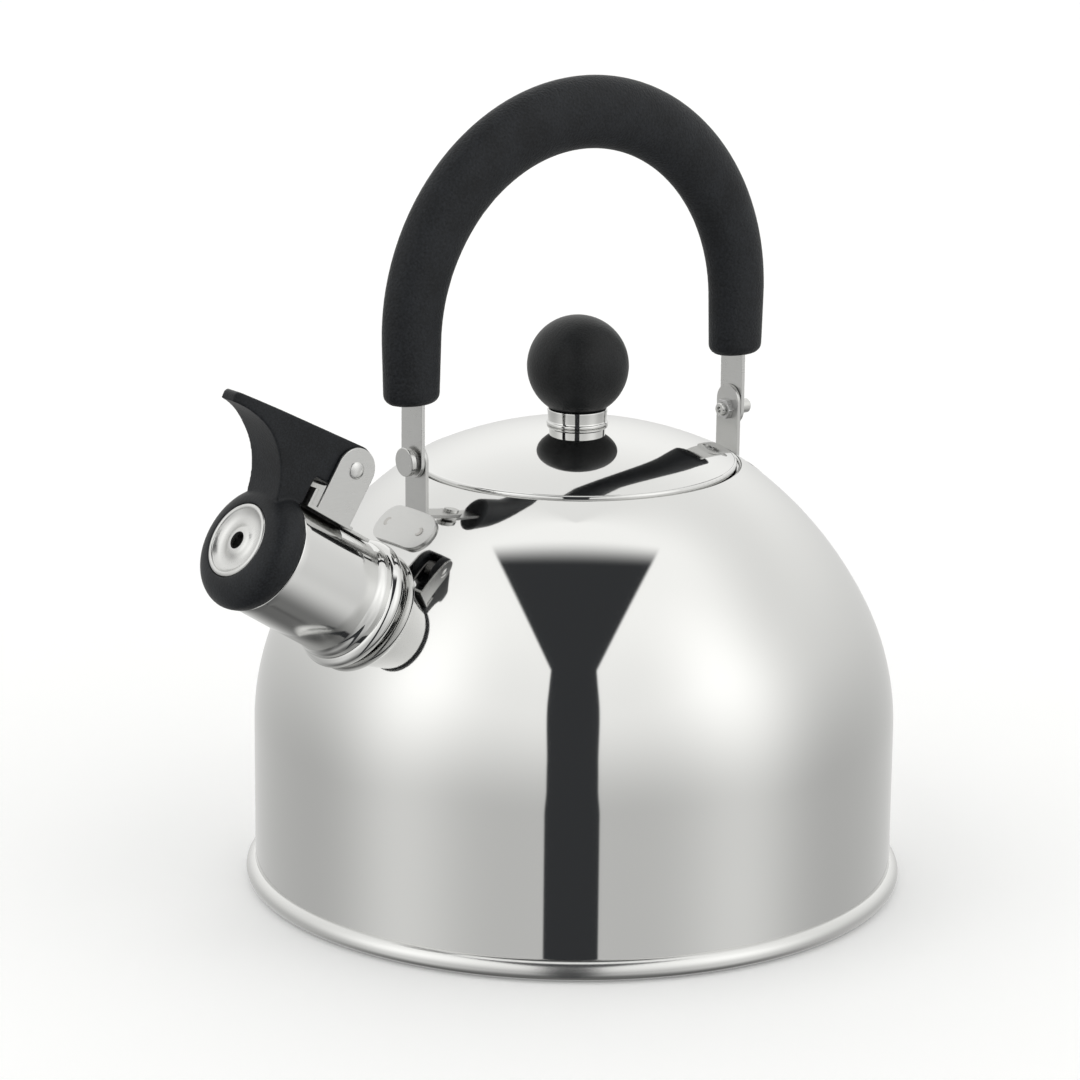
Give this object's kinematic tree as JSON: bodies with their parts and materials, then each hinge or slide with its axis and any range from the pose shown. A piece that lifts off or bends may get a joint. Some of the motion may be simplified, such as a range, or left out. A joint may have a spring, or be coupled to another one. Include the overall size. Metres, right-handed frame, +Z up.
{
  "type": "stovetop whistling kettle",
  "caption": "Domed stovetop kettle with a folding arched handle, lift-off lid with a ball knob, and a tilted spout capped by a hinged whistle.",
  "frame": {"origin": "middle of the flat base where it rests", "axes": "+Z up, spout towards -X, the handle's pivots along X"},
  "size_m": [0.2246, 0.1954, 0.2401],
  "materials": {
    "polished_steel": "mirror-polished stainless steel",
    "satin_steel": "satin stainless steel",
    "spring_steel": "drawn spring wire and sheet",
    "aluminium": "mill finish",
    "brass": "turned brass",
    "black_phenolic": "satin black heat-proof plastic",
    "black_grip": "fine-grained soft-touch black",
    "silicone": "dark silicone rubber"
  },
  "bodies": {
    "kettle": {"body_shell": "polished_steel", "base_pan": "polished_steel", "heat_disc": "aluminium", "base_cap": "satin_steel", "spout_tube": "polished_steel", "hinge_bracket": "satin_steel", "hinge_pin": "satin_steel", "hinge_spring": "spring_steel", "spout_side_bracket": "satin_steel", "rear_bracket": "satin_steel", "pivot_rivet": "satin_steel", "spout_side_spring_washer": "spring_steel", "rear_spring_washer": "spring_steel", "pivot_screw": "satin_steel", "pivot_nut": "satin_steel"},
    "lid": {"lid_shell": "polished_steel", "lid_skirt": "satin_steel", "knob_ferrule": "polished_steel", "lid_knob": "black_phenolic", "knob_insert": "brass", "knob_washer": "satin_steel", "knob_screw": "satin_steel"},
    "handle": {"handle_strap": "satin_steel", "handle_grip": "black_grip"},
    "whistle": {"whistle_lever": "black_grip", "whistle_front_disc": "satin_steel", "whistle_back_disc": "satin_steel", "whistle_seal": "silicone"}
  },
  "joints": [
    {"name": "handle_fold", "type": "hinge", "parent": "kettle", "child": "handle", "pos_m": [0, 0, 0.13484], "axis": [1, 0, 0], "range_deg": [-108, 108]},
    {"name": "whistle_flip", "type": "hinge", "parent": "kettle", "child": "whistle", "pos_m": [-0.08511, 0, 0.13735], "axis": [0, 1, 0], "range_deg": [0, 45], "stiffness_Nm_per_rad": 0.02, "springref_deg": -34.38, "deforming": ["hinge_spring"]},
    {"name": "lid_lift", "type": "slide", "parent": "kettle", "child": "lid", "axis": [0, 0, 1], "range_m": [0, 0.04]}
  ]
}
